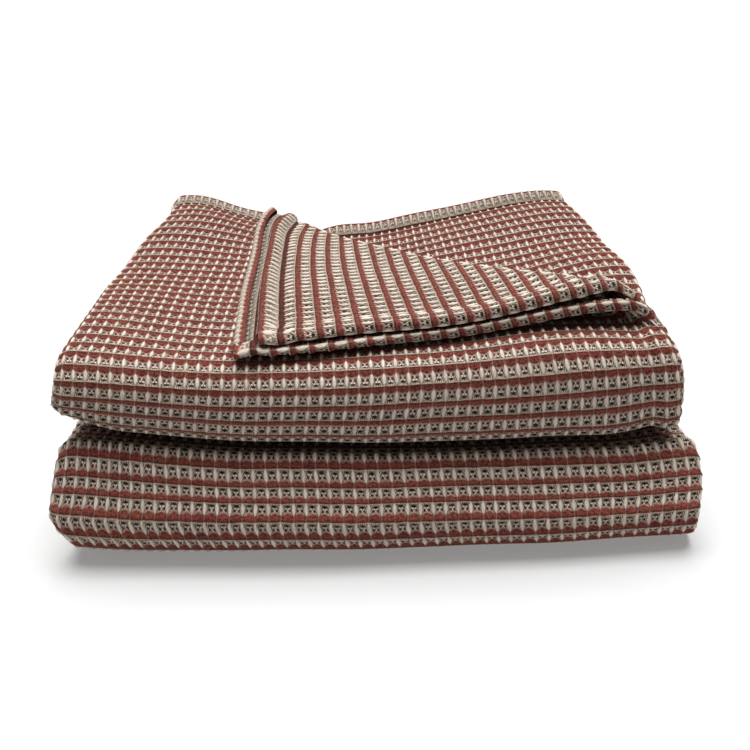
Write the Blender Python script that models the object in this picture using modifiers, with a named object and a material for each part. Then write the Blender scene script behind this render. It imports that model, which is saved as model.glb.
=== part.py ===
"""A waffle-weave throw, folded and laid flat, with one corner turned over on top.

The cloth is made as it is in the home: one flat rectangle, creased along its
fold lines, folded in four across its width, then in four along its length, and
last the free corner of the two top layers is turned over the diagonal.
Metres, +Z up. X runs along the stripes, -Y is the side with the round folds.
The origin is the middle of the underside.
"""
import math

import bmesh
import bpy
from mathutils import Vector

# The cloth and the stack
CLOTH = 0.0040            # thickness of the waffle cloth
PITCH = 0.0089            # one layer of cloth and the air beside it
PACKET = 4 * PITCH        # four layers, once the width is folded
AIR = 0.0010              # between one folded packet and the next

# Across the width, before the stack settles (X)
LEFT_FOLD = -0.2170       # outermost face of the left folds
RIGHT_FOLD = 0.2115       # outermost face of the right fold
TOP_HEM = 0.1985          # side hem of the top layer
SECOND_HEM = 0.2030       # side hem of the layer under it

# Along the length (Y)
UPPER_FRONT = -0.152      # front of the upper round fold
LOWER_FRONT = -0.177      # front of the lower round fold
BACK = 0.180              # back of the stack, and the end hem on top
TUCKED_END = 0.118        # end of the panel that is tucked inside

# The turned-over corner
TURN_X = -0.1150          # where its crease meets the end hem
TURN_ANGLE = math.radians(43.6)   # its crease, from the end hem towards the front
TURN_AIR = 0.0018         # open radius inside the crease at the end hem
TURN_GAPE = 0.0050        # and how much wider it opens at the side hem
GAPE_START = 0.3          # from this share of the hem's distance onwards
TURN_PITCH = 0.0052       # the two turned layers lie closer than the others
TURN_EASE = 0.070         # length over which they draw together, and settle again

# How finely the flat cloth is creased
STRAIGHT_STEPS_ACROSS = 7
STRAIGHT_STEPS_ALONG = 7
ARC_STEPS_ACROSS = 5
ARC_STEPS_ALONG = 8
TURN_STEPS = 5


def smooth(x):
    """0 below 0, 1 above 1, and a soft step between."""
    x = min(max(x, 0.0), 1.0)
    return x * x * (3.0 - 2.0 * x)


# --- the width, folded in four: (x, depth under the packet's face) ---------------

FOLD_X = LEFT_FOLD + 2.0 * PITCH            # axis of both left folds
TURN_BACK_X = RIGHT_FOLD - 1.0 * PITCH      # axis of the right fold


def across_runs():
    """The width as runs: (length, start x, start depth, heading, turn radius).

    Heading is +1 to the right and -1 to the left. A run with a radius is a half
    turn, which goes down the packet where the radius is positive and up where it
    is negative.
    """
    second = 1.5 * PITCH
    third = 2.5 * PITCH
    fourth = 3.5 * PITCH
    return [
        (SECOND_HEM - FOLD_X, SECOND_HEM, second, -1, 0.0),
        (math.pi * 0.5 * PITCH, FOLD_X, second, -1, 0.5 * PITCH),
        (TURN_BACK_X - FOLD_X, FOLD_X, third, 1, 0.0),
        (math.pi * 0.5 * PITCH, TURN_BACK_X, third, 1, 0.5 * PITCH),
        (TURN_BACK_X - FOLD_X, TURN_BACK_X, fourth, -1, 0.0),
        (math.pi * 1.5 * PITCH, FOLD_X, fourth, -1, -1.5 * PITCH),
        (TOP_HEM - FOLD_X, FOLD_X, 0.5 * PITCH, 1, 0.0),
    ]


SECOND_LAYER = 0                            # the runs that are the two top layers
TOP_LAYER = 6


def fold_across(u):
    """A distance across the flat cloth, as (x, depth, layer)."""
    for index, (length, x, depth, heading, radius) in enumerate(across_runs()):
        if u <= length or index == TOP_LAYER:
            if radius == 0.0:
                return x + heading * u, depth, index
            angle = u / abs(radius)
            side = math.sin(angle) * abs(radius)
            return x + heading * side, depth + radius * (1.0 - math.cos(angle)), index
        u -= length


# --- the length, folded in four: a line in Y and Z, and the packet's outward side ---

FLOOR_PANEL = PACKET                        # height of the packet's face, panel 3
TUCKED_PANEL = FLOOR_PANEL + AIR            # panel 4
MIDDLE_PANEL = TUCKED_PANEL + PACKET + AIR  # panel 2
TOP_PANEL = MIDDLE_PANEL + 2.0 * PACKET + AIR
UPPER_ROLL = 0.5 * (TOP_PANEL - MIDDLE_PANEL)
BACK_ROLL = 0.5 * (MIDDLE_PANEL - FLOOR_PANEL)
LOWER_ROLL = 0.5 * (TUCKED_PANEL - FLOOR_PANEL)
UPPER_AXIS = UPPER_FRONT + UPPER_ROLL
BACK_AXIS = BACK - BACK_ROLL - PACKET
LOWER_AXIS = LOWER_FRONT + LOWER_ROLL + PACKET
LAST_PANEL = 6                              # the run whose end is tucked inside


def along_runs():
    """The length as runs: (length, start y, start z, heading, turn radius, way).

    The length of a half turn is the one at the middle of the packet. A radius is
    positive where the packet's face is on the outside of the turn. Way is -1 where
    the turn goes down, and +1 where it comes up again.
    """
    middle = 0.5 * PACKET
    return [
        (BACK - UPPER_AXIS, BACK, TOP_PANEL, -1, 0.0, 0),
        (math.pi * (UPPER_ROLL - middle), UPPER_AXIS, TOP_PANEL, -1, UPPER_ROLL, -1),
        (BACK_AXIS - UPPER_AXIS, UPPER_AXIS, MIDDLE_PANEL, 1, 0.0, 0),
        (math.pi * (BACK_ROLL + middle), BACK_AXIS, MIDDLE_PANEL, 1, -BACK_ROLL, -1),
        (BACK_AXIS - LOWER_AXIS, BACK_AXIS, FLOOR_PANEL, -1, 0.0, 0),
        (math.pi * (LOWER_ROLL + middle), LOWER_AXIS, FLOOR_PANEL, -1, -LOWER_ROLL, 1),
        (TUCKED_END - LOWER_AXIS, LOWER_AXIS, TUCKED_PANEL, 1, 0.0, 0),
    ]


def fold_along(v):
    """A distance along the flat cloth, as (y, z, outward y, outward z)."""
    for index, (length, y, z, heading, radius, way) in enumerate(along_runs()):
        if v <= length or index == LAST_PANEL:
            if radius == 0.0:
                return y + heading * v, z, 0.0, -float(heading)
            angle = math.pi * v / length
            side = heading * math.sin(angle) * abs(radius)
            rise = way * (1.0 - math.cos(angle)) * abs(radius)
            turn = math.copysign(1.0, radius)
            return (y + side, z + rise, turn * heading * math.sin(angle),
                    -turn * way * math.cos(angle))
        v -= length


# --- the corner of the two top layers, turned over its crease --------------------

ACROSS_CREASE = (math.sin(TURN_ANGLE), math.cos(TURN_ANGLE))
PRESSED = 2.0 * (PITCH - TURN_PITCH)        # how far the crease sinks into the stack


def turn_distance(x, v):
    """How far a point of a top layer lies past the crease, towards the free corner."""
    return (x - TURN_X) * ACROSS_CREASE[0] - v * ACROSS_CREASE[1]


def near_crease(past):
    """1 at the crease and 0 where the layers lie as they do in the rest of the stack."""
    return smooth(1.0 - abs(past) / TURN_EASE)


def turn_air(x, v):
    """The open radius inside the crease, which gapes towards the side hem."""
    along = (x - TURN_X) * ACROSS_CREASE[1] + v * ACROSS_CREASE[0]
    return TURN_AIR + TURN_GAPE * smooth(along / (TOP_HEM - TURN_X) - GAPE_START)


def turn_over(x, v, depth):
    """A point of a top layer, as (x, distance along the cloth below it, depth)."""
    past = turn_distance(x, v)
    close = PRESSED + (depth / PITCH) * TURN_PITCH
    if past <= 0.0:
        return x, v, depth + (close - depth) * near_crease(past)
    air = turn_air(x, v)
    radius = air + close - PRESSED
    arc = math.pi * radius
    if past < arc:
        angle = past / radius
        reach = radius * math.sin(angle)
        height = air - radius * math.cos(angle) - PRESSED
    else:
        reach = arc - past
        rest = 1.0 - near_crease(reach)
        height = 2.0 * air * (1.0 - rest) + AIR * rest
        height += close - PRESSED - PRESSED * near_crease(reach)
    step = reach - past
    return x + step * ACROSS_CREASE[0], v - step * ACROSS_CREASE[1], -height


# --- how the folded stack settles -------------------------------------------------

UNDERSIDE = 0.5 * (PITCH - CLOTH)           # lowest face of the cloth, before settling

# Soft swellings of the whole stack: centre x, centre y, reach x, reach y, height
SWELLS = [
    (-0.180, 0.175, 0.100, 0.110, 0.036),    # back left corner, where the folds are thick
    (0.185, 0.170, 0.130, 0.120, 0.050),     # back right corner
    (0.035, 0.195, 0.075, 0.060, 0.017),     # lip of the back edge
    (-0.200, -0.050, 0.065, 0.110, 0.010),   # left folds
    (0.170, -0.070, 0.080, 0.080, 0.012),    # right folds, under the turned corner
    (-0.060, -0.130, 0.120, 0.060, -0.005),  # the turned corner weighs the front down
]
FRONT_BOW = 0.010         # the ends of the front lie this much further back
BACK_TAPER = 0.070        # the stack is narrower at the back
CORNER_TAPER = 0.060      # and its back corners are rounded off
LOWER_SPREAD = 0.045      # the lower half is pressed wider
LOWER_SHIFT = -0.003      # and lies a little to the left
RIGHT_LEAN = 0.200        # the right side of the upper half leans in, for each metre up
RIGHT_UPRIGHT = 0.010     # from this far above the middle of the upper fold
UPPER_LIFT = 0.60         # the left end of the upper fold is drawn up by this share
LOWER_LIFT = 0.36         # and that of the lower one
END_REACH = 0.055         # over this distance from its side
TOP_FULLNESS = 2.6        # 2 leaves the upper half of a round fold a plain circle
BOTTOM_FULLNESS = 2.1     # the same for its lower half
DRIFT = 0.0025            # the sides wander by this much from panel to panel
DRIFT_TURNS = (70.0, 9.0)  # and this fast with height and depth, in radians a metre
LOWER_HALF = (0.35, 0.65)  # the lower half ends between these shares of the height
FRONT_START = 0.05        # the front's own shape begins here,
FRONT_END = -0.15         # and is full from here on
MIDDLE_X = -0.0048        # the settled stack's own middle, which is the origin
MIDDLE_Y = 0.0031


def fuller(y, z, axis_y, axis_z, radius):
    """Presses the round section of a front fold towards a square one."""
    if y > axis_y:
        return y, z
    along = (axis_y - y) / radius
    up = (z - axis_z) / radius
    size = math.hypot(along, up)
    if size < 1e-6:
        return y, z
    power = TOP_FULLNESS if up > 0.0 else BOTTOM_FULLNESS
    square = (along ** power + abs(up) ** power) ** (1.0 / power)
    grow = 1.0 + (size / square - 1.0) * smooth(size)
    return axis_y - along * radius * grow, axis_z + up * radius * grow


def drawn_up(z, end):
    """How far the left end of a round fold is drawn up from its lower side."""
    if z > MIDDLE_PANEL:
        share = UPPER_LIFT
        middle = 0.5 * (MIDDLE_PANEL + TOP_PANEL)
    else:
        share = LOWER_LIFT
        middle = 0.5 * (FLOOR_PANEL + TUCKED_PANEL)
    return share * end * max(0.0, middle - z)


def settle(x, y, z):
    """Moves a point of the square stack to where the soft one lies."""
    half = 0.5 * (RIGHT_FOLD - LEFT_FOLD)
    if z > MIDDLE_PANEL:
        y, z = fuller(y, z, UPPER_AXIS, TOP_PANEL - UPPER_ROLL, UPPER_ROLL)
    elif z < TUCKED_PANEL + PACKET:
        y, z = fuller(y, z, LOWER_AXIS, FLOOR_PANEL + LOWER_ROLL, LOWER_ROLL + PACKET)
    height = max(0.0, (z - PITCH) / (TOP_PANEL - PITCH))
    lower = 1.0 - smooth((height - LOWER_HALF[0]) / (LOWER_HALF[1] - LOWER_HALF[0]))
    front = smooth((FRONT_START - y) / (FRONT_START - FRONT_END))
    back = smooth((y - UPPER_AXIS) / (BACK - UPPER_AXIS))
    corner = smooth((y - 0.5 * BACK) / (0.5 * BACK))
    taper = BACK_TAPER * back + CORNER_TAPER * corner
    wide = 1.0 + LOWER_SPREAD * lower - taper
    upright = MIDDLE_PANEL + UPPER_ROLL + RIGHT_UPRIGHT
    lean = RIGHT_LEAN * (upright - z) * (1.0 - lower) * smooth(x / half)
    drift = DRIFT * math.sin(DRIFT_TURNS[0] * z + DRIFT_TURNS[1] * y) + LOWER_SHIFT * lower
    rise = sum(
        tall * math.exp(-((x - cx) / rx) ** 2 - ((y - cy) / ry) ** 2)
        for cx, cy, rx, ry, tall in SWELLS
    )
    end = front * smooth(1.0 - (x - LEFT_FOLD) / END_REACH)
    up = z + rise * height + drawn_up(z, end) - UNDERSIDE
    bow = FRONT_BOW * front * (x / half) ** 2
    return Vector((x * wide + lean + drift - MIDDLE_X, y + bow - MIDDLE_Y, up))


def folded(u, v):
    """Where a point of the flat cloth lies in the folded throw."""
    x, depth, layer = fold_across(u)
    if layer in (TOP_LAYER, SECOND_LAYER):
        x, v, depth = turn_over(x, v, depth)
    y, z, out_y, out_z = fold_along(v)
    return settle(x, y - depth * out_y, z - depth * out_z)


# --- the flat cloth and its creases ------------------------------------------------


def crease_places(runs, straight_steps, arc_steps):
    """Distances across or along the cloth at which it is creased."""
    places = []
    start = 0.0
    for length, _, _, _, radius, *_ in runs:
        steps = straight_steps if radius == 0.0 else arc_steps
        places += [start + length * step / steps for step in range(1, steps + 1)]
        start += length
    return places[:-1], places[-1]


def cut(cloth, faces, point, normal):
    """Creases the given faces of the flat cloth along a straight line."""
    geometry = set(faces)
    for face in faces:
        geometry.update(face.edges)
        geometry.update(face.verts)
    bmesh.ops.bisect_plane(cloth, geom=list(geometry), dist=1e-7, plane_co=point,
                           plane_no=normal)


def corner_faces(cloth, layer_start, layer_end, panel_end):
    """The faces of one layer that lie on the top panel."""
    found = []
    for face in cloth.faces:
        middle = face.calc_center_median()
        if layer_start < middle.x < layer_end and middle.y < panel_end:
            found.append(face)
    return found


def make_flat_cloth():
    """The whole cloth laid flat, width on X and length on Y, with every crease."""
    across, width = crease_places(across_runs(), STRAIGHT_STEPS_ACROSS, ARC_STEPS_ACROSS)
    along, length = crease_places(along_runs(), STRAIGHT_STEPS_ALONG, ARC_STEPS_ALONG)
    cloth = bmesh.new()
    bmesh.ops.create_grid(cloth, x_segments=1, y_segments=1, size=0.5)
    for vert in cloth.verts:
        vert.co.x = (vert.co.x + 0.5) * width
        vert.co.y = (vert.co.y + 0.5) * length
    for u in across:
        cut(cloth, cloth.faces[:], (u, 0.0, 0.0), (1.0, 0.0, 0.0))
    for v in along:
        cut(cloth, cloth.faces[:], (0.0, v, 0.0), (0.0, 1.0, 0.0))

    # the crease of the turned corner, as a fan of lines across each top layer
    for depth, start, end, middle, way in (
        (0.5 * TURN_PITCH, width - TOP_HEM + FOLD_X, width, width - TOP_HEM, 1.0),
        (1.5 * TURN_PITCH, 0.0, SECOND_HEM - FOLD_X, SECOND_HEM, -1.0),
    ):
        arc = math.pi * (TURN_AIR + 0.5 * TURN_GAPE + depth)
        lines = [arc * step / TURN_STEPS for step in range(TURN_STEPS + 1)]
        lines += [-TURN_EASE, -0.5 * TURN_EASE, arc + 0.5 * TURN_EASE, arc + TURN_EASE]
        for past in lines:
            at_hem = middle + way * (TURN_X + past / ACROSS_CREASE[0])
            faces = corner_faces(cloth, start, end, TOP_HEM - TURN_X + 2.0 * PITCH)
            normal = (way * ACROSS_CREASE[0], -ACROSS_CREASE[1], 0.0)
            cut(cloth, faces, (at_hem, 0.0, 0.0), normal)
    return cloth


def make_throw():
    """The folded throw: the flat cloth moved along its folds, then given its thickness."""
    cloth = make_flat_cloth()
    for vert in cloth.verts:
        vert.co = folded(vert.co.x, vert.co.y)
    bmesh.ops.triangulate(cloth, faces=cloth.faces[:])
    mesh = bpy.data.meshes.new("throw")
    cloth.to_mesh(mesh)
    cloth.free()
    throw = bpy.data.objects.new("throw", mesh)
    thickness = throw.modifiers.new("cloth thickness", "SOLIDIFY")
    thickness.thickness = CLOTH
    thickness.offset = 0.0
    thickness.use_quality_normals = True
    mesh.materials.append(make_cotton())
    return throw


def make_cotton():
    """Terracotta and cream cotton, as one even colour."""
    cotton = bpy.data.materials.new("terracotta and cream cotton")
    cotton.use_nodes = True
    shader = cotton.node_tree.nodes["Principled BSDF"]
    shader.inputs["Base Color"].default_value = (0.38, 0.19, 0.15, 1.0)
    shader.inputs["Roughness"].default_value = 0.9
    shader.inputs["Metallic"].default_value = 0.0
    return cotton


def main():
    for old in list(bpy.data.objects):
        bpy.data.objects.remove(old)
    collection = bpy.data.collections.new("folded throw")
    bpy.context.scene.collection.children.link(collection)
    collection.objects.link(make_throw())


main()
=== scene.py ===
"""A waffle-weave cotton throw, folded into a soft stack with one corner turned over.

The cloth is woven flat here, cell by cell, and then folded in the order a person folds
it: in four across its width, in four along its length, and last the corner of the two
top layers is turned over. Metres, +Z up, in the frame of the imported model.
"""
import math

import bmesh
import bpy
from mathutils import Matrix, Vector, noise


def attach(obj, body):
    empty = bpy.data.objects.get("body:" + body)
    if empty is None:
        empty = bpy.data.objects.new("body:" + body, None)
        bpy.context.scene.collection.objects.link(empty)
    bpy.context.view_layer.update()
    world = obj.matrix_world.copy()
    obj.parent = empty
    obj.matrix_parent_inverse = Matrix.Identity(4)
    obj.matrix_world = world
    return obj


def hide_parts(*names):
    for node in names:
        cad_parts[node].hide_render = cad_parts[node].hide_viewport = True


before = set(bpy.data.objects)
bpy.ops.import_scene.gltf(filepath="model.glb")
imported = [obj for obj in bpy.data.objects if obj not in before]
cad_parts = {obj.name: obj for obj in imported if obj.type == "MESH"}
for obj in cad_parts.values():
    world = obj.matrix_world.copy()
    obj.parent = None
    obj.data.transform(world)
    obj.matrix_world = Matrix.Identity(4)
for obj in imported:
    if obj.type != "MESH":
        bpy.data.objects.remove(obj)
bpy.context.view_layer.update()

# --- The cloth -------------------------------------------------------------------
# One rectangle of cotton waffle, terracotta and cream. Cream yarns stand up in ridges
# along the cloth, terracotta ones cross them in stripes, and each cell sinks between.
# Its edges are turned in once, towards its back.

# The folded stack
PITCH = 0.0089            # one layer of cloth and the air beside it
PACKET = 4 * PITCH        # four layers, once the width is folded
AIR = 0.0010              # between one packet and the next
CLOTH = 0.0040            # the cloth with its relief
LEFT_FOLD = -0.2170
RIGHT_FOLD = 0.2115
TOP_HEM = 0.1985          # side hem of the top layer
SECOND_HEM = 0.2030       # side hem of the layer under it
UPPER_FRONT = -0.152      # front of the upper round fold
LOWER_FRONT = -0.177      # front of the lower round fold
BACK = 0.180              # back of the stack, and the end hem on top
TUCKED_END = 0.118        # end of the panel that is tucked inside

FLOOR_PANEL = PACKET
TUCKED_PANEL = FLOOR_PANEL + AIR
MIDDLE_PANEL = TUCKED_PANEL + PACKET + AIR
TOP_PANEL = MIDDLE_PANEL + 2.0 * PACKET + AIR
UPPER_ROLL = 0.5 * (TOP_PANEL - MIDDLE_PANEL)
BACK_ROLL = 0.5 * (MIDDLE_PANEL - FLOOR_PANEL)
LOWER_ROLL = 0.5 * (TUCKED_PANEL - FLOOR_PANEL)
UPPER_AXIS = UPPER_FRONT + UPPER_ROLL
BACK_AXIS = BACK - BACK_ROLL - PACKET
LOWER_AXIS = LOWER_FRONT + LOWER_ROLL + PACKET
FOLD_X = LEFT_FOLD + 2.0 * PITCH
TURN_BACK_X = RIGHT_FOLD - PITCH

# The width as runs, from the side hem of the second layer to that of the top layer:
# length, start x, start depth, heading, turn radius (down the packet where positive)
ACROSS = [
    (SECOND_HEM - FOLD_X, SECOND_HEM, 1.5 * PITCH, -1, 0.0),
    (math.pi * 0.5 * PITCH, FOLD_X, 1.5 * PITCH, -1, 0.5 * PITCH),
    (TURN_BACK_X - FOLD_X, FOLD_X, 2.5 * PITCH, 1, 0.0),
    (math.pi * 0.5 * PITCH, TURN_BACK_X, 2.5 * PITCH, 1, 0.5 * PITCH),
    (TURN_BACK_X - FOLD_X, TURN_BACK_X, 3.5 * PITCH, -1, 0.0),
    (math.pi * 1.5 * PITCH, FOLD_X, 3.5 * PITCH, -1, -1.5 * PITCH),
    (TOP_HEM - FOLD_X, FOLD_X, 0.5 * PITCH, 1, 0.0),
]
SECOND, INNER_LEFT, THIRD, RIGHT, FOURTH, LEFT, TOP = range(7)
WIDTH = sum(run[0] for run in ACROSS)

# The length as runs, from the end hem on top to the end that is tucked inside:
# length, start y, start z, heading, turn radius, way, and how much longer than the run
# the layer is that shows on the outside of a turn
MID = 0.5 * PACKET
ALONG = [
    (BACK - UPPER_AXIS, BACK, TOP_PANEL, -1, 0.0, 0, 1.0),
    (math.pi * (UPPER_ROLL - MID), UPPER_AXIS, TOP_PANEL, -1, UPPER_ROLL, -1,
     UPPER_ROLL / (UPPER_ROLL - MID)),
    (BACK_AXIS - UPPER_AXIS, UPPER_AXIS, MIDDLE_PANEL, 1, 0.0, 0, 1.0),
    (math.pi * (BACK_ROLL + MID), BACK_AXIS, MIDDLE_PANEL, 1, -BACK_ROLL, -1,
     (BACK_ROLL + PACKET) / (BACK_ROLL + MID)),
    (BACK_AXIS - LOWER_AXIS, BACK_AXIS, FLOOR_PANEL, -1, 0.0, 0, 1.0),
    (math.pi * (LOWER_ROLL + MID), LOWER_AXIS, FLOOR_PANEL, -1, -LOWER_ROLL, 1,
     (LOWER_ROLL + PACKET) / (LOWER_ROLL + MID)),
    (TUCKED_END - LOWER_AXIS, LOWER_AXIS, TUCKED_PANEL, 1, 0.0, 0, 1.0),
]
ON_TOP, UPPER_TURN, MIDDLE, BACK_TURN, ON_FLOOR, LOWER_TURN, TUCKED = range(7)
LENGTH = sum(run[0] for run in ALONG)

# The turned-over corner
TURN_X = -0.1150          # where its crease leaves the end hem
TURN_ANGLE = math.radians(43.6)
TURN_AIR = 0.0018         # between the top layer and itself, inside the crease,
TURN_GAPE = 0.0015        # and so much more towards the tip
TIP_START = 0.3           # from this share of the corner on
TURN_PITCH = 0.0052       # the two layers of the corner lie closely,
TIP_PITCH = 0.0030        # and less so in the crease towards the tip
TURN_EASE = 0.070         # the crease is pressed down over this distance
SLUMP = 0.0055            # most of all at its back end
SLUMP_REACH = 0.060
FLARE = 0.0065            # but the stiff end hem of the top layer stands up there
FLARE_REACH = 0.022
PRESSED = 2.0 * (PITCH - TURN_PITCH)
ACROSS_CREASE = (math.sin(TURN_ANGLE), math.cos(TURN_ANGLE))


def smooth(x):
    """0 below 0, 1 above 1, and a soft step between."""
    x = min(max(x, 0.0), 1.0)
    return x * x * (3.0 - 2.0 * x)


def fold_across(u, sunk=0.0):
    """A distance across the flat cloth, sunk so far towards its back, as
    (x, depth under the packet's face, layer)."""
    for layer, (length, x, depth, heading, radius) in enumerate(ACROSS):
        if u <= length or layer == TOP:
            back = heading * sunk
            if radius == 0.0:
                return x + heading * u, depth + back, layer
            angle = u / abs(radius)
            side = math.sin(angle) * abs(radius - back)
            sink = radius - (radius - back) * math.cos(angle)
            return x + heading * side, depth + sink, layer
        u -= length


def fold_along(v):
    """A distance along the flat cloth, as (y, z, outward y, outward z)."""
    for panel, (length, y, z, heading, radius, way, _) in enumerate(ALONG):
        if v <= length or panel == TUCKED:
            if radius == 0.0:
                return y + heading * v, z, 0.0, -float(heading)
            angle = math.pi * v / length
            side = heading * math.sin(angle) * abs(radius)
            rise = way * (1.0 - math.cos(angle)) * abs(radius)
            turn = math.copysign(1.0, radius)
            return (y + side, z + rise, turn * heading * math.sin(angle),
                    -turn * way * math.cos(angle))
        v -= length


def turn_distance(x, v):
    """How far a point of a top layer lies past the crease of the turned corner."""
    return (x - TURN_X) * ACROSS_CREASE[0] - v * ACROSS_CREASE[1]


def near_crease(past):
    return smooth(1.0 - abs(past) / TURN_EASE)


def turn_over(x, v, depth, back):
    """A point of a top layer, as (x, distance along the cloth below it, depth).

    The depth is that of the layer's middle, and back is how far below it the point is.
    """
    past = turn_distance(x, v)
    along = (x - TURN_X) * ACROSS_CREASE[1] + v * ACROSS_CREASE[0]
    tip = smooth(along / (TOP_HEM - TURN_X) - TIP_START)
    close = PRESSED + (depth / PITCH) * (TURN_PITCH + TIP_PITCH * tip)
    if past <= 0.0:
        return x, v, depth + (close - depth) * near_crease(past) + back
    air = TURN_AIR + TURN_GAPE * tip
    radius = air + close - PRESSED
    arc = math.pi * radius
    slump = SLUMP * smooth(1.0 - along / SLUMP_REACH) * (0.9 + 0.25 * depth / PITCH)
    slump -= FLARE * smooth(1.0 - v / FLARE_REACH) * smooth(1.5 - depth / PITCH)
    if past < arc:
        angle = past / radius
        reach = (radius + back) * math.sin(angle)
        height = air - (radius + back) * math.cos(angle) - PRESSED
        height -= slump * 0.5 * (1.0 - math.cos(angle))
    else:
        reach = arc - past
        near = near_crease(reach)
        close -= (depth / PITCH) * TIP_PITCH * tip * (1.0 - near)
        height = 2.0 * air * near + AIR * (1.0 - near) + back
        height += close - PRESSED - (PRESSED + slump) * near
    step = reach - past
    return x + step * ACROSS_CREASE[0], v - step * ACROSS_CREASE[1], -height


# How the folded stack settles: soft swellings (centre x, centre y, reach x, reach y,
# height), and the way its sides and round folds are drawn in
SWELLS = [
    (-0.180, 0.175, 0.100, 0.110, 0.034),    # back left corner, where the folds are thick
    (0.185, 0.170, 0.130, 0.120, 0.050),     # back right corner
    (0.035, 0.195, 0.075, 0.060, 0.014),     # lip of the back edge
    (-0.200, -0.050, 0.065, 0.110, 0.010),   # left folds
    (0.170, -0.070, 0.080, 0.080, 0.012),    # right folds, under the turned corner
    (-0.060, -0.130, 0.120, 0.060, -0.005),  # the turned corner weighs the front down
    (-0.138, 0.185, 0.034, 0.050, -0.005),   # dip beside the turned corner
    (-0.034, 0.185, 0.030, 0.030, 0.006),    # and the back edge rises past it
    (0.195, 0.035, 0.050, 0.045, 0.014),     # right folds, behind the turned corner
    (-0.078, 0.185, 0.028, 0.045, -0.006),   # the crease is pressed down at the back
]
# How far the upper sides swell out: side, y, reach y, distance
BULGES = [
    (1.0, 0.010, 0.045, 0.0055),
    (1.0, -0.092, 0.030, -0.0015),
    (1.0, -0.160, 0.030, 0.0010),
    (-1.0, 0.010, 0.045, 0.0045),
    (-1.0, -0.130, 0.050, 0.0025),
    (-1.0, 0.125, 0.030, -0.0045),
]
FRONT_BOW = 0.010         # the middle of the front lies so far before its ends
BACK_TAPER = 0.070        # the stack is narrower at the back by this share,
CORNER_TAPER = 0.060      # its back corners by this one,
LOWER_SPREAD = 0.045      # and its lower half is wider
LOWER_SHIFT = -0.003
RIGHT_LEAN = 0.200        # slope of the upper half's right side,
FRONT_LEAN = 0.070        # which is more in front,
RIGHT_UPRIGHT = 0.010     # and the height over the upper fold's middle that stays
UPPER_LIFT = 0.37         # the left ends of the round folds are drawn up so much
LOWER_LIFT = 0.03
END_REACH = 0.055
UPPER_FULLNESS = (2.6, 2.9)   # of the upper and the lower half of each round fold
LOWER_FULLNESS = (1.08, 2.1)
SEAT_TILT = -0.050        # slope of the seat between the two halves
SEAT_END = 0.006          # it rises at the right end
SEAT_END_X = 0.150
SEAT_END_REACH = 0.060
SEAT_FRONT = 0.002        # and in front
SEAT_FRONT_Y = -0.090
SEAT_FRONT_REACH = 0.040
WEDGE = 0.0055            # the lower half swells into the wedge under the upper fold
WEDGE_Y = -0.143
WEDGE_REACH = 0.011
LOWER_LEAN = 0.0095       # the lower half leans over to the right towards the floor,
LEFT_LEAN = 0.60          # and by this share more at its left end
LOWER_BULGE = 0.006       # its right end bulges out in front,
LOWER_BULGE_X = 0.100
LOWER_BULGE_Z = 0.058
LOWER_DRAWN = 0.010       # while its left end is drawn in at its top
LOWER_DRAWN_X = 0.140
LOWER_DRAWN_Z = 0.030
DRIFT = 0.0025            # the layers slide a little over each other
DRIFT_TURNS = (70.0, 9.0)
LOWER_HALF = (0.35, 0.65)     # shares of the height between which the halves meet
FRONT_START = 0.05
FRONT_END = -0.15
MIDDLE_X = -0.0048        # the middle of the settled stack comes to the origin
MIDDLE_Y = 0.0031
UNDERSIDE = 0.5 * (PITCH - CLOTH)


def fuller(y, z, axis_y, axis_z, radius, fullness):
    """Presses the round section of a front fold towards a square one."""
    if y > axis_y:
        return y, z
    along = (axis_y - y) / radius
    up = (z - axis_z) / radius
    size = math.hypot(along, up)
    if size < 1e-6:
        return y, z
    power = fullness[0] if up > 0.0 else fullness[1]
    square = (along ** power + abs(up) ** power) ** (1.0 / power)
    grow = 1.0 + (size / square - 1.0) * smooth(size)
    return axis_y - along * radius * grow, axis_z + up * radius * grow


def drawn_up(z, end):
    """How far the left end of a round fold is drawn up from its lower side."""
    share, middle = LOWER_LIFT, 0.5 * (FLOOR_PANEL + TUCKED_PANEL)
    if z > MIDDLE_PANEL:
        share, middle = UPPER_LIFT, 0.5 * (MIDDLE_PANEL + TOP_PANEL)
    return share * end * max(0.0, middle - z)


def seated(x, y, z):
    """How far the seat between the upper and the lower half lifts a point."""
    lift = SEAT_TILT * x + SEAT_END * smooth((x - SEAT_END_X) / SEAT_END_REACH)
    lift += SEAT_FRONT * smooth((SEAT_FRONT_Y - y) / SEAT_FRONT_REACH)
    if z < MIDDLE_PANEL:
        lift += WEDGE * math.exp(-((y - WEDGE_Y) / WEDGE_REACH) ** 2)
    return lift * smooth(1.0 - abs(z - MIDDLE_PANEL) / MIDDLE_PANEL)


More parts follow.
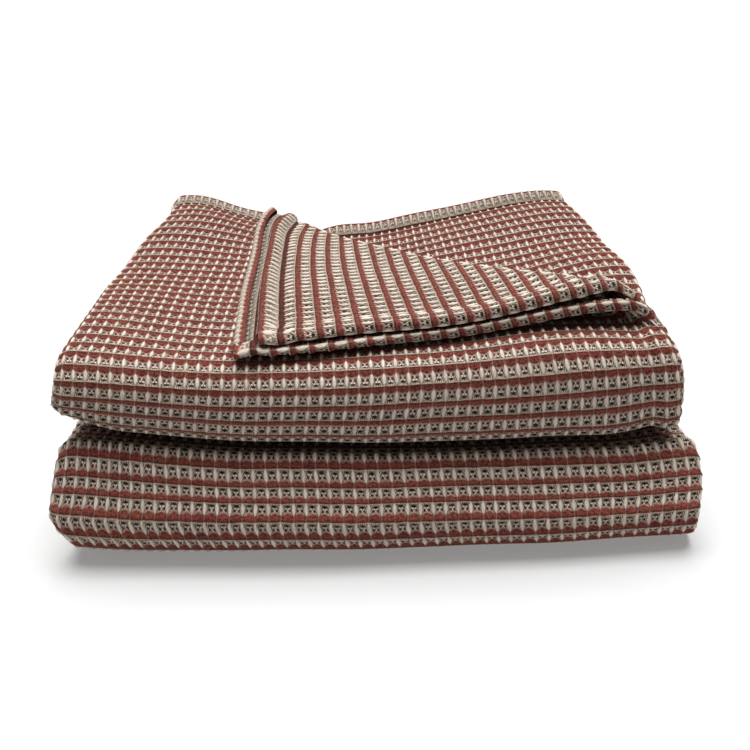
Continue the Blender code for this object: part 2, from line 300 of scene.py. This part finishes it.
def settle(x, y, z):
    """Moves a point of the square stack to where the soft one lies."""
    half = 0.5 * (RIGHT_FOLD - LEFT_FOLD)
    if z > MIDDLE_PANEL:
        y, z = fuller(y, z, UPPER_AXIS, TOP_PANEL - UPPER_ROLL, UPPER_ROLL, UPPER_FULLNESS)
    elif z < TUCKED_PANEL + PACKET:
        y, z = fuller(y, z, LOWER_AXIS, FLOOR_PANEL + LOWER_ROLL, LOWER_ROLL + PACKET,
                      LOWER_FULLNESS)
    height = max(0.0, (z - PITCH) / (TOP_PANEL - PITCH))
    lower = 1.0 - smooth((height - LOWER_HALF[0]) / (LOWER_HALF[1] - LOWER_HALF[0]))
    front = smooth((FRONT_START - y) / (FRONT_START - FRONT_END))
    back = smooth((y - UPPER_AXIS) / (BACK - UPPER_AXIS))
    corner = smooth((y - 0.5 * BACK) / (0.5 * BACK))
    wide = 1.0 + LOWER_SPREAD * lower - BACK_TAPER * back - CORNER_TAPER * corner
    upright = MIDDLE_PANEL + UPPER_ROLL + RIGHT_UPRIGHT
    lean = (RIGHT_LEAN + FRONT_LEAN * front) * (upright - z)
    lean *= (1.0 - lower) * smooth(x / half)
    drift = DRIFT * math.sin(DRIFT_TURNS[0] * z + DRIFT_TURNS[1] * y) + LOWER_SHIFT * lower
    rise = sum(
        tall * math.exp(-((x - cx) / rx) ** 2 - ((y - cy) / ry) ** 2)
        for cx, cy, rx, ry, tall in SWELLS
    )
    end = front * smooth(1.0 - (x - LEFT_FOLD) / END_REACH)
    up = z + rise * height + drawn_up(z, end) + seated(x, y, z) - UNDERSIDE
    bow = FRONT_BOW * front * (x / half) ** 2
    swell = LOWER_LEAN * max(0.0, 1.0 - z / PACKET)
    swell *= 1.0 + LEFT_LEAN * smooth(-x / half)
    for side, centre, reach, far in BULGES:
        near = smooth(1.5 * side * x / half - 0.5) * (1.0 - lower)
        swell += side * far * near * math.exp(-((y - centre) / reach) ** 2)
    at_right = lower * front * smooth((x - LOWER_BULGE_X) / 0.080)
    swell += LOWER_BULGE * at_right * math.exp(-((z - LOWER_BULGE_Z) / 0.018) ** 2)
    at_left = lower * front * smooth((-x - LOWER_DRAWN_X) / 0.070)
    swell += LOWER_DRAWN * at_left * smooth((z - LOWER_DRAWN_Z) / 0.045)
    return Vector((x * wide + lean + drift + swell - MIDDLE_X, y + bow - MIDDLE_Y, up))


# The weave: columns run along the cloth and rows across it
COLUMNS = 208
COLUMN = WIDTH / COLUMNS
ROW = 0.0123              # one stripe on the flat panels
TURN_ROW = 0.0133         # on the round folds the cloth is drawn longer,
LOWER_ROW = 0.0146        # and most on the lower one
FIRST_ROW = 0.25          # the end hem cuts the first stripe at this share
HEM_COLUMNS = 2           # turned in along each side
SIDE_HEM = 0.0034         # radius of a side hem's edge: over one column goes round it
END_HEM = 0.0031          # radius of an end hem's edge
END_HEM_LENGTH = 0.0140
HEM_CLOSE = 0.8           # the turned-in band closes on the cloth by this share
SIDE_REACH = 0.018        # a side hem lifts the cloth's face over this much of it
END_RISE = 0.0038         # an end hem stands up in a ridge
END_DIP = 0.0022          # and the cloth sinks in a groove where it ends
GROOVE = 0.0115
GROOVE_REACH = 0.0045
SPREAD_REACH = 0.030      # the hems of the turned corner hold its layers apart
SPREAD_START = 0.035      # once they are so far past its crease
SECOND_SPREAD = 0.0030
TOP_SPREAD = -0.0003
SECOND_LONG = 0.0080      # the second layer reaches as far forward as the top one,
SECOND_TIP = 0.0040       # all the way to the tip,
LONG_REACH = 0.25         # with its slack taken from this much of it
SECOND_SHORT = 0.003      # its end lies a little behind the top one's,
SHORT_REACH = 0.060
CREASE_SHORT = 0.007      # most of all at the crease
CREASE_PAST = 0.015
CREASE_REACH = 0.030
CREASE_END = 0.080
WANDER = 0.0009           # how far the weave strays from a true grid
WANDER_SCALE = (0.06, 0.09)
RIPPLE = 0.0013           # and the folded throw from its even shape
RIPPLE_SCALE = 14.0
ELSEWHERE = Vector((40.0, 40.0, 0.0))
noise.seed_set(5)         # the same strays and ripples each run


def row_starts():
    """The row number at which each run of the length starts, and the rows in all."""
    starts = [FIRST_ROW]
    for panel, (length, _, _, _, radius, _, longer) in enumerate(ALONG):
        row = TURN_ROW if radius else ROW
        if panel == LOWER_TURN:
            row = LOWER_ROW
        starts.append(starts[-1] + length * longer / row)
    return starts


ROW_STARTS = row_starts()
LAST_ROW = ROW_STARTS[-1]


def length_of_row(row):
    """The distance along the flat cloth of a row number, and its run."""
    v = 0.0
    for panel, (length, _, _, _, _, _, _) in enumerate(ALONG):
        share = (row - ROW_STARTS[panel]) / (ROW_STARTS[panel + 1] - ROW_STARTS[panel])
        if share <= 1.0 or panel == TUCKED:
            return v + share * length, panel
        v += length


def turned_in(past, radius):
    """An edge turned in: (how far past the hem line, how far towards the back)."""
    if past <= 0.0:
        return past, 0.0
    if past < math.pi * radius:
        return radius * math.sin(past / radius), radius * (1.0 - math.cos(past / radius))
    flat = past - math.pi * radius
    return -flat, 2.0 * radius * (1.0 - HEM_CLOSE * smooth(flat / (math.pi * radius)))


def lifted(u, v):
    """How far the hems lift the cloth's face, from the distances to their edges."""
    side = SIDE_HEM * smooth(1.5 - 1.5 * max(u, 0.0) / SIDE_REACH)
    end = END_RISE * smooth(1.1 - max(v, 0.0) / GROOVE)
    return max(side, end) - END_DIP * math.exp(-((v - GROOVE) / GROOVE_REACH) ** 2)


def place(column, row):
    """Where a point of the weave lies in the folded throw."""
    u = column * COLUMN
    v, panel = length_of_row(row)
    over_side, sunk_side = turned_in(max(-u, u - WIDTH, 0.0), SIDE_HEM)
    over_end, sunk_end = turned_in(max(-v, v - LENGTH, 0.0), END_HEM)
    if u < 0.0:
        u = -over_side
    elif u > WIDTH:
        u = WIDTH + over_side
    if v < 0.0:
        v = -over_end
    elif v > LENGTH:
        v = LENGTH + over_end
    sunk = sunk_side + sunk_end - lifted(min(u, WIDTH - u), min(v, LENGTH - v))
    spot = Vector((column * WANDER_SCALE[0], row * WANDER_SCALE[1], 0.0))
    u += WANDER * noise.noise(spot)
    v += WANDER * noise.noise(spot + ELSEWHERE)
    v += SECOND_SHORT * smooth((ACROSS[SECOND][0] - u) / SHORT_REACH)
    x, depth, layer = fold_across(u, sunk)
    if layer == SECOND:
        near = math.exp(-((turn_distance(x, v) - CREASE_PAST) / CREASE_REACH) ** 2)
        v += CREASE_SHORT * near * smooth(1.0 - v / CREASE_END)
    if layer in (TOP, SECOND):
        back = ACROSS[layer][3] * sunk
        turned = smooth((turn_distance(x, v) - SPREAD_START) / SPREAD_REACH)
        if layer == SECOND:
            long = SECOND_LONG + SECOND_TIP * smooth(v / TOP_HEM)
            x += long * turned * smooth(1.0 - u / LONG_REACH)
            spread = SECOND_SPREAD * turned * smooth(1.0 - u / SPREAD_REACH)
        else:
            spread = TOP_SPREAD * turned * smooth(1.0 - (WIDTH - u) / SPREAD_REACH)
        x, v, depth = turn_over(x, v, depth - back, back + spread)
    y, z, out_y, out_z = fold_along(v)
    point = settle(x, y - depth * out_y, z - depth * out_z)
    return point + RIPPLE * noise.noise_vector(point * RIPPLE_SCALE)


HIDDEN, PLAIN, FINE = range(3)
SEEN = 0.022              # so much of a layer shows past a hem or an edge over it
CREASE_SEEN = 0.012       # and so much under the crease
TURNED_REACH = 0.22       # the turned corner reaches so far past its crease
INTO_SEAT = 0.02          # the seat between the halves shows so far inwards
INTO_ROLL = 0.03          # and so does the end that is tucked into the lower fold


def how_fine(column, row):
    """How finely a cell is made, by how much of it can be seen."""
    u = min(max(column * COLUMN, 0.0), WIDTH)
    v, panel = length_of_row(row)
    x, _, layer = fold_across(u)
    y = fold_along(v)[0]
    past = turn_distance(x, v)
    if layer == TOP:
        if panel == ON_TOP and past > 0.0:
            return FINE if v < SEEN or x > TOP_HEM - SEEN else HIDDEN
        if panel in (ON_TOP, UPPER_TURN):
            over_x = x - 2.0 * past * ACROSS_CREASE[0]    # what lies over it, unturned
            over_v = v + 2.0 * past * ACROSS_CREASE[1]
            covered = over_x < TOP_HEM - SEEN and over_v > SEEN and x > TURN_X
            return HIDDEN if covered and -TURNED_REACH < past < -SEEN else FINE
        if panel == MIDDLE and y < UPPER_AXIS + INTO_SEAT:
            return FINE
        return PLAIN if x > TOP_HEM - SEEN else HIDDEN
    if layer in (SECOND, THIRD):
        if panel == ON_TOP and past > -CREASE_SEEN:
            return FINE
        edge = SECOND_HEM if layer == SECOND else RIGHT_FOLD
        return PLAIN if x > edge - SEEN else HIDDEN
    if layer in (LEFT, RIGHT):
        return FINE if panel in (ON_TOP, UPPER_TURN, LOWER_TURN) else PLAIN
    if layer == FOURTH:
        if panel == LOWER_TURN or panel == TUCKED and y < LOWER_AXIS + INTO_ROLL:
            return FINE
        return PLAIN if panel in (BACK_TURN, ON_FLOOR) else HIDDEN
    return HIDDEN


def split_cells(cloth, level, wanted, columns_cut, rows_cut):
    """Divides the cells that are at least so fine, across and then along."""
    for cuts, across in ((columns_cut, True), (rows_cut, False)):
        edges = set()
        for face in cloth.faces:
            if face[level] < wanted:
                continue
            for edge in face.edges:
                run = edge.verts[1].co - edge.verts[0].co
                if (abs(run.x) > abs(run.y)) == across:
                    edges.add(edge)
        bmesh.ops.subdivide_edges(cloth, edges=list(edges), cuts=cuts, use_grid_fill=True)


def weave_flat():
    """The whole cloth in cell units: X counts columns and Y counts rows."""
    first_row = FIRST_ROW - END_HEM_LENGTH / ROW
    last_row = LAST_ROW + END_HEM_LENGTH / ROW
    low, high = -HEM_COLUMNS, COLUMNS + HEM_COLUMNS
    rows = round(last_row - first_row)
    cloth = bmesh.new()
    bmesh.ops.create_grid(cloth, x_segments=high - low, y_segments=rows, size=0.5)
    for vert in cloth.verts:
        vert.co.x = low + (vert.co.x + 0.5) * (high - low)
        vert.co.y = first_row + (vert.co.y + 0.5) * (last_row - first_row)
    corners = [
        face for face in cloth.faces
        if not 0.0 < face.calc_center_median().x < COLUMNS
        and not 0.0 < face.calc_center_median().y < LAST_ROW
    ]
    bmesh.ops.delete(cloth, geom=corners, context="FACES")
    bmesh.ops.reverse_faces(cloth, faces=cloth.faces[:])
    return cloth


RIDGE = 0.0014            # height of a cream ridge over the middle of the cloth
CREST = 0.0008            # height of the line between two stripes
SINK = 0.0010             # depth of a cell
RIDGE_WIDTH = 0.16        # half the width of a ridge, in columns
OVER_CREST = 0.8          # share of the crest's height at which a ridge crosses it
EDGE_CALM = 0.55          # the relief is pressed flatter on the edge of the end hem,
BAND_CALM = 0.70          # on its turned-in band,
SIDE_CALM = 0.35          # and on the turned-in side hems
FLOOR_CALM = 0.65         # and against the floor,
FLOOR_REACH = 0.012       # up to this height


def relief(column, row):
    """Height of the cloth's face at a point of a cell."""
    off = abs((column + 0.5) % 1.0 - 0.5)
    t = row % 1.0
    cell = noise.cell(Vector((math.floor(column + 0.5), math.floor(row), 0.5)))
    ridge = math.exp(-(off / RIDGE_WIDTH) ** 2)
    spindle = smooth((t - 0.28) / 0.28) * smooth((1.02 - t) / 0.20) * (0.9 + 0.25 * cell)
    fall = smooth(t / 0.48) if t < 0.5 else smooth((1.0 - t) / 0.16)
    floor = CREST - (CREST + SINK) * fall
    top = CREST * OVER_CREST + (RIDGE - CREST * OVER_CREST) * spindle
    calm = EDGE_CALM * math.exp(-((row - 0.1) / 0.25) ** 2)
    calm = max(calm, BAND_CALM * smooth(-row / 0.3))
    if not 0.0 < column < COLUMNS:
        calm = max(calm, SIDE_CALM)
    return (floor + (top - floor) * ridge) * (1.0 - calm)


def lay(cloth):
    """Folds the flat weave and raises its relief. Keeps the weave's own coordinates."""
    weave = cloth.loops.layers.uv.new("weave")
    for face in cloth.faces:
        face.smooth = True
        for loop in face.loops:
            loop[weave].uv = loop.vert.co.xy
    cells = [vert.co.xy.copy() for vert in cloth.verts]
    for vert, cell in zip(cloth.verts, cells):
        vert.co = place(cell.x, cell.y)
    cloth.normal_update()
    for vert, cell in zip(cloth.verts, cells):
        calm = FLOOR_CALM * smooth(1.0 - vert.co.z / FLOOR_REACH)
        vert.co += vert.normal * relief(cell.x, cell.y) * (1.0 - calm)


class Value:
    """A shader socket that adds Math nodes where it is used in an expression."""

    def __init__(self, finish, socket):
        self.finish = finish
        self.socket = socket

    def __add__(self, other):
        return self.finish.math("ADD", self, other)

    def __sub__(self, other):
        return self.finish.math("SUBTRACT", self, other)

    def __rsub__(self, other):
        return self.finish.math("SUBTRACT", other, self)

    def __mul__(self, other):
        return self.finish.math("MULTIPLY", self, other)

    __radd__ = __add__
    __rmul__ = __mul__

    def size(self):
        return self.finish.math("ABSOLUTE", self)

    def soft(self, low, high):
        """0 at low, 1 at high, with a soft step between, in either order."""
        ends = {"Value": self, "From Min": low, "From Max": high}
        if low > high:
            ends.update({"From Min": high, "From Max": low, "To Min": 1.0, "To Max": 0.0})
        settings = {"interpolation_type": "SMOOTHSTEP"}
        return self.finish.node("ShaderNodeMapRange", settings, ends)


class Finish:
    """A material and the nodes that are added to it."""

    def __init__(self, name):
        self.material = bpy.data.materials.new(name)
        self.material.use_nodes = True
        self.tree = self.material.node_tree
        self.shader = self.tree.nodes["Principled BSDF"]

    def node(self, kind, settings, values, output=0):
        made = self.tree.nodes.new(kind)
        for name, setting in settings.items():
            setattr(made, name, setting)
        for name, value in values.items():
            self.feed(made.inputs[name], value)
        return Value(self, made.outputs[output])

    def feed(self, socket, value):
        if isinstance(value, Value):
            self.tree.links.new(value.socket, socket)
        else:
            socket.default_value = value

    def math(self, operation, *values):
        settings = {"operation": operation}
        return self.node("ShaderNodeMath", settings, dict(enumerate(values)))

    def mix(self, share, first, second):
        """Two colours, mixed by a share of the second."""
        values = {0: share, 6: first, 7: second}
        return self.node("ShaderNodeMix", {"data_type": "RGBA"}, values, output=2)

    def place(self, x, y):
        return self.node("ShaderNodeCombineXYZ", {}, {0: x, 1: y})

    def noise(self, x, y, detail=2.0):
        """Soft noise around 0.5 over two values."""
        values = {"Vector": self.place(x, y), "Scale": 1.0, "Detail": detail}
        return self.node("ShaderNodeTexNoise", {"noise_dimensions": "2D"}, values)

    def chance(self, x, y):
        """A random value for each whole number of x and y."""
        spot = self.place(self.math("FLOOR", x), self.math("FLOOR", y))
        settings = {"noise_dimensions": "2D"}
        return self.node("ShaderNodeTexWhiteNoise", settings, {"Vector": spot})

    def spot(self, across, along, wide, long):
        """1 inside a round spot, from the distances to its middle, and soft outside."""
        across = across * (1.0 / wide)
        along = along * (1.0 / long)
        return (across * across + along * along).soft(1.5, 0.4)


CREAM = (0.63, 0.54, 0.44, 1.0)
LIT = (0.76, 0.66, 0.56, 1.0)
TERRACOTTA = (0.215, 0.042, 0.029, 1.0)
RUSSET = (0.185, 0.055, 0.027, 1.0)
WINE = (0.150, 0.026, 0.021, 1.0)
SHADED = (0.115, 0.078, 0.057, 1.0)
DARK = (0.012, 0.005, 0.004, 1.0)
OLIVE = (0.36, 0.26, 0.13, 1.0)
PINK = (0.46, 0.23, 0.18, 1.0)


def waffle_finish():
    """Cream ridges with a painted highlight, terracotta stripes, crossed yarns in each
    cell, painted shade in its holes, and soft fibres.
    """
    finish = Finish("terracotta and cream waffle")
    weave = finish.node("ShaderNodeUVMap", {"uv_map": "weave"}, {})
    parts = finish.tree.nodes.new("ShaderNodeSeparateXYZ")
    finish.feed(parts.inputs[0], weave)
    true_column = Value(finish, parts.outputs[0])
    true_row = Value(finish, parts.outputs[1])

    # where a point lies in its cell, with the weave's small irregularities
    stray = finish.noise(true_column * 1.7, true_row * 1.9) - 0.5
    column = true_column + stray * 0.12
    row = true_row + (finish.noise(true_column * 1.1, true_row * 2.3) - 0.5) * 0.09
    t = finish.math("FRACT", row)
    by_cell = finish.chance(column, row)
    by_ridge = finish.chance(column + 0.5, row)
    other = finish.chance(column, row + 40.0)
    off = finish.math("PINGPONG", column, 0.5)    # 0 on a ridge, 0.5 in mid cell
    mid = (finish.math("FRACT", column) - 0.5 + (other - 0.5) * 0.07).size()
    down = t + (by_cell - 0.5) * 0.05
    ragged = (finish.noise(column * 5.0, row * 4.0) - 0.5) * 0.14
    fibre_along = finish.noise(column * 26.0, row * 3.0, 3.0)
    fibre_across = finish.noise(column * 4.0, row * 26.0, 3.0)
    fluff = finish.noise(column * 9.0, row * 12.0, 3.0)
    blotch = finish.noise(column * 5.0 + 30.0, row * 9.0, 3.0)

    # the stripe of terracotta, the cream ridge and the crest between two rows
    red = t.soft(0.020, 0.060) * (t + ragged + mid * 0.14).soft(0.49, 0.35)
    bulge = t.soft(0.27, 0.60) * t.soft(1.05, 0.74)
    ridge = (off - 0.026 - bulge * 0.138 + (fibre_along - 0.5) * 0.07).soft(0.055, -0.045)
    crest = t.soft(0.965, 0.990) + t.soft(0.035, 0.010)

    # the crossed yarns in a cell, and the holes between them and under the stripe, which
    # are painted dark as shade
    arm = (mid - 0.02 - (0.57 - down) * 1.05).size().soft(0.050, 0.015)
    arm = arm * t.soft(0.36, 0.42) * t.soft(0.63, 0.58)
    blob = finish.spot(mid - 0.105, down - 0.735, 0.075, 0.055)
    knot = finish.spot(mid, down - 0.615, 0.048, 0.080)
    crown = finish.spot(mid - 0.06, down - 0.475, 0.045, 0.040)
    eye = finish.spot(mid - 0.185, down - 0.60, 0.085, 0.095)
    shadow_under_red = finish.spot(mid, down - 0.40, 0.18, 0.060)
    mouth = finish.spot(mid, down - 0.860 + stray * 0.08, 0.19, 0.075)
    threads = finish.math("PINGPONG", off * 6.5 - t * 4.5, 0.5).soft(0.18, 0.38)
    threads = threads * (0.50 + by_ridge * 0.40)

    # the cell's colours, from its ground up: the sunk ground is painted in shade, with
    # lighter threads over it
    colour = finish.mix(threads, SHADED, CREAM)
    colour = finish.mix(fluff.soft(0.52, 0.40) * 0.4, colour, DARK)
    # painted shade: the holes between the yarns and the shadow under the stripe are
    # painted dark
    shaded_holes = finish.math("MAXIMUM", finish.math("MAXIMUM", eye, mouth), shadow_under_red)
    colour = finish.mix(shaded_holes * (0.86 + by_cell * 0.14), colour, DARK)
    lights = finish.math("MAXIMUM", finish.math("MAXIMUM", blob, knot), arm * 0.7)
    lights = finish.math("MAXIMUM", lights, crown * 0.7)
    light = finish.mix(t.soft(0.66, 0.42) * 0.6, LIT, PINK)
    colour = finish.mix(lights * (0.70 + other * 0.25), colour, light)
    tint = finish.mix(by_cell.soft(0.3, 1.0) * 0.6, TERRACOTTA, RUSSET)
    tint = finish.mix(other.soft(0.5, 1.0) * 0.7, tint, WINE)
    tint = finish.mix(blotch.soft(0.56, 0.34) * 0.7, tint, DARK)
    tint = finish.mix(fibre_across.soft(0.55, 0.72) * 0.30, tint, PINK)
    # the stripe is painted darker at both edges: towards the crest, and as painted shade
    # at its lower side where it falls into the cell
    tint = finish.mix((t + ragged).soft(0.26, 0.40) * 0.2, tint, DARK)
    tint = finish.mix((t + ragged).soft(0.22, 0.05) * 0.6, tint, DARK)
    veil = (t + ragged).soft(0.36, 0.44) * (t + ragged).soft(0.60, 0.50)
    colour = finish.mix(veil * 0.50, colour, PINK)
    colour = finish.mix(red, colour, tint)
    # painted highlight: the ridge's yarn is lighter along its middle
    yarn = finish.mix(off.soft(0.02, 0.15) * 0.45, LIT, CREAM)
    yarn = finish.mix(fibre_along.soft(0.50, 0.25) * 0.5, yarn, SHADED)
    yarn = finish.mix(by_ridge * 0.22, yarn, SHADED)
    yarn = finish.mix(red, yarn, finish.mix(0.25, PINK, CREAM))
    colour = finish.mix(ridge * (1.0 - red * 0.60), colour, yarn)
    edge = finish.mix(finish.noise(column * 1.3, row * 1.0).soft(0.40, 0.62), PINK, OLIVE)
    edge = finish.mix(fluff.soft(0.45, 0.60) * 0.6, edge, CREAM)
    colour = finish.mix(crest * 0.7, colour, edge)
    # painted shade in the groove where the end hem's band ends
    groove_shade = true_row.soft(0.98, 1.08) * true_row.soft(1.46, 1.34)
    colour = finish.mix(groove_shade * 0.55, colour, DARK)
    first_row = true_row.soft(0.42, 0.52) * true_row.soft(1.00, 0.90)
    colour = finish.mix(first_row * 0.24, colour, CREAM)
    band = true_row.soft(0.05, -0.30)
    colour = finish.mix(band * (1.0 - red) * 0.55, colour, CREAM)

    # fine relief and shine
    height = finish.math("MAXIMUM", ridge, lights) * 0.8 - shaded_holes * 0.9 + red * 0.2
    height = height + blotch * red * 0.7 + fibre_along * ridge * 0.5 + fluff * 0.7
    bump = {"Height": height, "Distance": 0.0008, "Strength": 0.8}
    finish.feed(finish.shader.inputs["Normal"], finish.node("ShaderNodeBump", {}, bump))
    finish.feed(finish.shader.inputs["Base Color"], colour)
    finish.feed(finish.shader.inputs["Roughness"], 0.82 + fluff * 0.18)
    finish.shader.inputs["Specular IOR Level"].default_value = 0.10
    finish.shader.inputs["Sheen Weight"].default_value = 0.04
    finish.shader.inputs["Sheen Roughness"].default_value = 0.6
    return finish.material


def cut_out(cloth, name, keep, material):
    """One piece of the laid cloth: the faces whose weave coordinates keep() accepts."""
    part = cloth.copy()
    weave = part.loops.layers.uv["weave"]
    others = []
    for face in part.faces:
        middle = sum((loop[weave].uv for loop in face.loops), Vector((0.0, 0.0)))
        if not keep(*(middle / len(face.loops))):
            others.append(face)
    bmesh.ops.delete(part, geom=others, context="FACES")
    mesh = bpy.data.meshes.new(name)
    part.to_mesh(mesh)
    part.free()
    mesh.materials.append(material)
    piece = bpy.data.objects.new(name, mesh)
    bpy.context.scene.collection.objects.link(piece)
    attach(piece, "root")
    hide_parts("throw")
    return piece


cloth = weave_flat()
fineness = cloth.faces.layers.int.new("fineness")
for face in cloth.faces:
    centre = face.calc_center_median()
    face[fineness] = how_fine(centre.x, centre.y)
split_cells(cloth, fineness, PLAIN, 3, 3)
split_cells(cloth, fineness, FINE, 1, 1)
lay(cloth)

waffle = waffle_finish()
LAYER_STARTS = [sum(run[0] for run in ACROSS[:layer]) for layer in range(len(ACROSS))]
SIDE_COLUMN = LAYER_STARTS[LEFT] / COLUMN    # the top layer starts in the left side
UPPER_ROWS = ROW_STARTS[MIDDLE] + 8.0        # the upper layers end inside the stack
UPPER_LENGTH = 0.45


def in_top_layer(column, row):
    return column > SIDE_COLUMN and row < UPPER_ROWS


def in_upper_layers(column, row):
    return column <= SIDE_COLUMN and row < UPPER_ROWS


def in_lower_half(column, row):
    return row >= UPPER_ROWS


for name, keep, wide, long in (
    ("throw_top_layer", in_top_layer, WIDTH - LAYER_STARTS[LEFT], UPPER_LENGTH),
    ("throw_upper_layers", in_upper_layers, LAYER_STARTS[LEFT], UPPER_LENGTH),
    ("throw_lower_half", in_lower_half, WIDTH, LENGTH - UPPER_LENGTH),
):
    piece = cut_out(cloth, name, keep, waffle)
cloth.free()

# --- The floor, the light and the camera -----------------------------------------
# A plain pale floor under an even studio light from above.

floor_mesh = bpy.data.meshes.new("floor")
floor_shape = bmesh.new()
bmesh.ops.create_grid(floor_shape, x_segments=1, y_segments=1, size=20.0)
floor_shape.to_mesh(floor_mesh)
floor_shape.free()
floor = bpy.data.objects.new("floor", floor_mesh)
bpy.context.scene.collection.objects.link(floor)
paint = Finish("pale floor")
paint.shader.inputs["Base Color"].default_value = (0.48, 0.48, 0.48, 1.0)
paint.shader.inputs["Roughness"].default_value = 0.9
paint.shader.inputs["Emission Color"].default_value = (1.0, 1.0, 1.0, 1.0)
paint.shader.inputs["Emission Strength"].default_value = 0.22
floor_mesh.materials.append(paint.material)

world = bpy.data.worlds.new("studio")
world.use_nodes = True
world.node_tree.nodes["Background"].inputs["Color"].default_value = (1.0, 1.0, 1.0, 1.0)
world.node_tree.nodes["Background"].inputs["Strength"].default_value = 0.16
bpy.context.scene.world = world

light = bpy.data.lights.new("overhead light", "SUN")
light.energy = 5.4
light.angle = math.radians(55.0)
lamp = bpy.data.objects.new("overhead light", light)
lamp.rotation_euler = (math.radians(-13.0), 0.0, 0.0)
bpy.context.scene.collection.objects.link(lamp)
bpy.context.scene.view_settings.view_transform = "Standard"

LENS_TO_SENSOR = 950.0 / 750.0
EYE_AWAY = 0.701
EYE_HEIGHT = 0.388
EYE_TURN = math.radians(1.0)
EYE_DOWN = math.radians(24.75)
EYE_ROLL = math.radians(2.2)
camera_data = bpy.data.cameras.new("camera")
camera_data.sensor_width = 36.0
camera_data.lens = 36.0 * LENS_TO_SENSOR
camera = bpy.data.objects.new("camera", camera_data)
bpy.context.scene.collection.objects.link(camera)
bpy.context.scene.camera = camera
ahead = Vector((-math.sin(EYE_TURN) * math.cos(EYE_DOWN),
                math.cos(EYE_TURN) * math.cos(EYE_DOWN), -math.sin(EYE_DOWN)))
right = Vector((math.cos(EYE_TURN), math.sin(EYE_TURN), 0.0))
up = right.cross(ahead)
camera.matrix_world = (
    Matrix.Translation((math.sin(EYE_TURN) * EYE_AWAY - MIDDLE_X,
                        -math.cos(EYE_TURN) * EYE_AWAY - MIDDLE_Y, EYE_HEIGHT))
    @ Matrix((right, up, -ahead)).transposed().to_4x4()
    @ Matrix.Rotation(-EYE_ROLL, 4, "Z")
)
